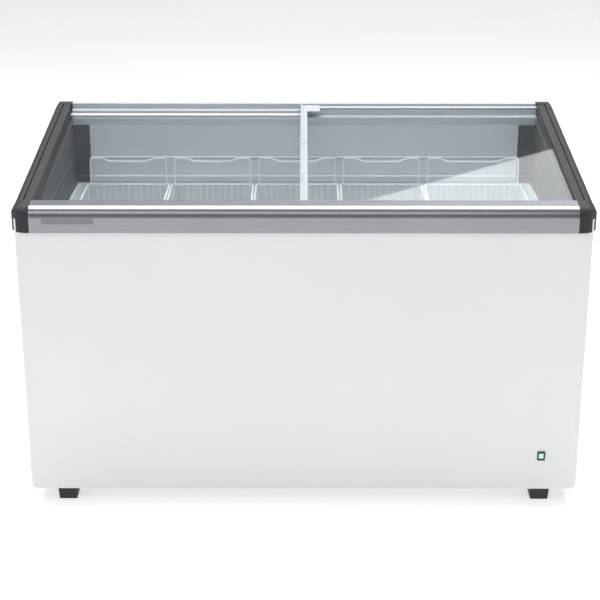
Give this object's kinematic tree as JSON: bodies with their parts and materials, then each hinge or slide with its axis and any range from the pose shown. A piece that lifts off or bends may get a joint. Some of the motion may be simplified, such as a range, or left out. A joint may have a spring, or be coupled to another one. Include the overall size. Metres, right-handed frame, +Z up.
{
  "type": "display chest freezer",
  "caption": "Low chest freezer for packed ice cream: sloping dark rim with metal profiles, sliding glass lids, wire baskets inside with folding handles, white body on short feet.",
  "frame": {"origin": "on the floor under the middle of the cabinet", "axes": "+X to the right along the long side, +Y from the customer side to the rear, +Z up"},
  "size_m": [1.3, 0.74, 0.8069],
  "materials": {
    "body_paint": "satin white powder coat",
    "plain_steel": "galvanised",
    "foam": "rigid foam",
    "liner_paint": "smooth white enamel",
    "copper": "copper tube",
    "rim_aluminium": "satin anodised",
    "dark_cover": "fine grained dark grey",
    "inner_panel": "smooth light grey",
    "badge": "plain brushed plate",
    "black_plastic": "black",
    "lamp_green": "translucent pale green",
    "foot_plastic": "moulded dark grey",
    "light_plastic": "moulded",
    "black_enamel": "semi gloss black",
    "rubber": "moulded",
    "motor_steel": "pressed",
    "fan_plastic": "moulded",
    "screw_steel": "zinc plated",
    "lid_glass": "clear, slightly green edge",
    "lid_trim": "satin",
    "grip_plastic": "light grey",
    "brush": "nylon pile",
    "rim_plastic": "fine grained dark grey",
    "white_wire": "white plastic coated wire"
  },
  "bodies": {
    "cabinet": {"outer_casing": "body_paint", "base_plate": "plain_steel", "foam_insulation": "foam", "inner_liner": "liner_paint", "evaporator_coil": "copper", "front_profile": "rim_aluminium", "rear_profile": "rim_aluminium", "side_rail_left": "rim_plastic", "side_rail_right": "rim_plastic", "cap_front_left": "rim_plastic", "cap_front_right": "rim_plastic", "cap_rear_left": "rim_plastic", "cap_rear_right": "rim_plastic", "inner_cover_left": "dark_cover", "inner_cover_right": "dark_cover", "rear_inner_panel": "inner_panel", "front_inner_panel": "inner_panel", "badge_plate": "badge", "lamp_bezel": "black_plastic", "lamp_lens": "lamp_green", "feet": "foot_plastic", "drain_spout": "black_plastic", "drain_plug": "light_plastic", "compressor": "black_enamel", "compressor_grommets": "rubber", "terminal_cover": "black_plastic", "condenser": "plain_steel", "fan_bracket": "black_plastic", "fan_motor": "motor_steel", "filter_drier": "copper", "refrigerant_pipes": "copper", "thermostat_body": "black_plastic", "side_grille": "dark_cover", "grille_screws": "screw_steel", "cable_gland": "black_plastic"},
    "lower_lid": {"lower_glass": "lid_glass", "lower_runners": "lid_trim", "lower_end_strip": "lid_trim"},
    "upper_lid": {"upper_glass": "lid_glass", "upper_runners": "lid_trim", "grip_bar": "grip_plastic", "corner_plate": "grip_plastic", "lid_brush": "brush"},
    "fan": {"fan_blades": "fan_plastic"},
    "knob": {"thermostat_knob": "black_plastic"},
    "basket_1_body": {"basket_1": "white_wire"},
    "rear_bail_1_body": {"rear_bail_1": "white_wire"},
    "front_bail_1_body": {"front_bail_1": "white_wire"},
    "basket_2_body": {"basket_2": "white_wire"},
    "rear_bail_2_body": {"rear_bail_2": "white_wire"},
    "front_bail_2_body": {"front_bail_2": "white_wire"},
    "basket_3_body": {"basket_3": "white_wire"},
    "rear_bail_3_body": {"rear_bail_3": "white_wire"},
    "front_bail_3_body": {"front_bail_3": "white_wire"},
    "basket_4_body": {"basket_4": "white_wire"},
    "rear_bail_4_body": {"rear_bail_4": "white_wire"},
    "front_bail_4_body": {"front_bail_4": "white_wire"},
    "basket_5_body": {"basket_5": "white_wire"},
    "rear_bail_5_body": {"rear_bail_5": "white_wire"},
    "front_bail_5_body": {"front_bail_5": "white_wire"}
  },
  "joints": [
    {"name": "lower_lid_slide", "type": "slide", "parent": "cabinet", "child": "lower_lid", "axis": [1, 0, 0], "range_m": [0, 0.6]},
    {"name": "upper_lid_slide", "type": "slide", "parent": "cabinet", "child": "upper_lid", "axis": [-1, 0, 0], "range_m": [0, 0.599]},
    {"name": "fan_spin", "type": "hinge", "parent": "cabinet", "child": "fan", "pos_m": [0.47, -0.2, 0.16], "axis": [0, 1, 0], "continuous": true},
    {"name": "thermostat_turn", "type": "hinge", "parent": "cabinet", "child": "knob", "pos_m": [0.634, 0.24, 0.18], "axis": [1, 0, 0], "range_deg": [-130, 130]},
    {"name": "basket_1_lift", "type": "slide", "parent": "cabinet", "child": "basket_1_body", "axis": [0, 0, 1], "range_m": [0, 0.09]},
    {"name": "rear_bail_1_fold", "type": "hinge", "parent": "basket_1_body", "child": "rear_bail_1_body", "pos_m": [-0.4599, 0.2735, 0.6005], "axis": [1, 0, 0], "range_deg": [0, 174]},
    {"name": "front_bail_1_raise", "type": "hinge", "parent": "basket_1_body", "child": "front_bail_1_body", "pos_m": [-0.4599, -0.2675, 0.6005], "axis": [-1, 0, 0], "range_deg": [-174, 0]},
    {"name": "basket_2_lift", "type": "slide", "parent": "cabinet", "child": "basket_2_body", "axis": [0, 0, 1], "range_m": [0, 0.09]},
    {"name": "rear_bail_2_fold", "type": "hinge", "parent": "basket_2_body", "child": "rear_bail_2_body", "pos_m": [-0.2392, 0.2735, 0.6005], "axis": [1, 0, 0], "range_deg": [0, 174]},
    {"name": "front_bail_2_raise", "type": "hinge", "parent": "basket_2_body", "child": "front_bail_2_body", "pos_m": [-0.2392, -0.2675, 0.6005], "axis": [-1, 0, 0], "range_deg": [-174, 0]},
    {"name": "basket_3_lift", "type": "slide", "parent": "cabinet", "child": "basket_3_body", "axis": [0, 0, 1], "range_m": [0, 0.09]},
    {"name": "rear_bail_3_fold", "type": "hinge", "parent": "basket_3_body", "child": "rear_bail_3_body", "pos_m": [-0.0185, 0.2735, 0.6005], "axis": [1, 0, 0], "range_deg": [0, 174]},
    {"name": "front_bail_3_raise", "type": "hinge", "parent": "basket_3_body", "child": "front_bail_3_body", "pos_m": [-0.0185, -0.2675, 0.6005], "axis": [-1, 0, 0], "range_deg": [-174, 0]},
    {"name": "basket_4_lift", "type": "slide", "parent": "cabinet", "child": "basket_4_body", "axis": [0, 0, 1], "range_m": [0, 0.09]},
    {"name": "rear_bail_4_fold", "type": "hinge", "parent": "basket_4_body", "child": "rear_bail_4_body", "pos_m": [0.2022, 0.2735, 0.6005], "axis": [1, 0, 0], "range_deg": [0, 174]},
    {"name": "front_bail_4_raise", "type": "hinge", "parent": "basket_4_body", "child": "front_bail_4_body", "pos_m": [0.2022, -0.2675, 0.6005], "axis": [-1, 0, 0], "range_deg": [-174, 0]},
    {"name": "basket_5_lift", "type": "slide", "parent": "cabinet", "child": "basket_5_body", "axis": [0, 0, 1], "range_m": [0, 0.09]},
    {"name": "rear_bail_5_fold", "type": "hinge", "parent": "basket_5_body", "child": "rear_bail_5_body", "pos_m": [0.4423, 0.2735, 0.6005], "axis": [1, 0, 0], "range_deg": [0, 174]},
    {"name": "front_bail_5_raise", "type": "hinge", "parent": "basket_5_body", "child": "front_bail_5_body", "pos_m": [0.4423, -0.2675, 0.6005], "axis": [-1, 0, 0], "range_deg": [-174, 0]}
  ]
}
